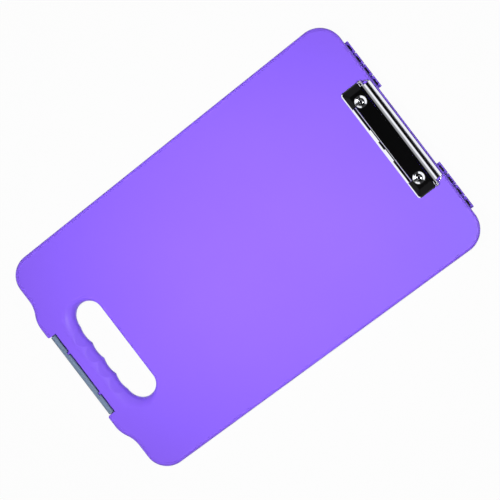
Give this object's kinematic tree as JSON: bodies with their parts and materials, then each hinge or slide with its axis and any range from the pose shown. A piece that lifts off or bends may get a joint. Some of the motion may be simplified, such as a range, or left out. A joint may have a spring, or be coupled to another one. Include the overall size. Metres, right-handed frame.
{
  "type": "storage clipboard box",
  "caption": "Flat storage case whose hinged lid is a clipboard, with a sprung metal clip, a hand hole with finger grooves and a front latch.",
  "frame": {"origin": "centre of the outline at the level of the underside", "axes": "+Z out of the writing face, +Y towards the hinge and the clip, +X to the right with the clip away from the viewer"},
  "size_m": [0.2536, 0.3888, 0.0338],
  "materials": {
    "violet_plastic": "smooth satin",
    "latch_plastic": "smooth",
    "clip_chrome": "polished plating",
    "bare_steel": "drawn bare metal"
  },
  "bodies": {
    "base": {"base_shell": "violet_plastic", "hinge_pin_left": "bare_steel", "hinge_pin_right": "bare_steel"},
    "lid": {"lid_shell": "violet_plastic", "latch_pin": "bare_steel", "clip_plate": "clip_chrome", "clip_jaw_pin": "bare_steel", "clip_lever_pin": "bare_steel", "clip_spring": "bare_steel", "clip_rivets": "clip_chrome", "rivet_washers": "bare_steel"},
    "latch": {"latch": "latch_plastic"},
    "jaw": {"clip_jaw": "clip_chrome"},
    "lever": {"clip_lever": "clip_chrome"}
  },
  "joints": [
    {"name": "lid_hinge", "type": "hinge", "parent": "base", "child": "lid", "pos_m": [0, 0.192, 0.0175], "axis": [-1, 0, 0], "range_deg": [0, 180]},
    {"name": "latch_hinge", "type": "hinge", "parent": "lid", "child": "latch", "pos_m": [0, -0.1894, 0.0248], "axis": [-1, 0, 0], "range_deg": [0, 90]},
    {"name": "lever_hinge", "type": "hinge", "parent": "lid", "child": "lever", "pos_m": [0, 0.1788, 0.0316], "axis": [1, 0, 0], "range_deg": [0, 95], "stiffness_Nm_per_rad": 0.02, "springref_deg": -28.65},
    {"name": "jaw_hinge", "type": "hinge", "parent": "lid", "child": "jaw", "pos_m": [0, 0.1705, 0.0313], "axis": [-1, 0, 0], "range_deg": [0, 12], "deforming": ["clip_spring"]}
  ],
  "couplings": [
    {"joint": "jaw_hinge", "follows": "lever_hinge", "ratio": 0.1263}
  ]
}
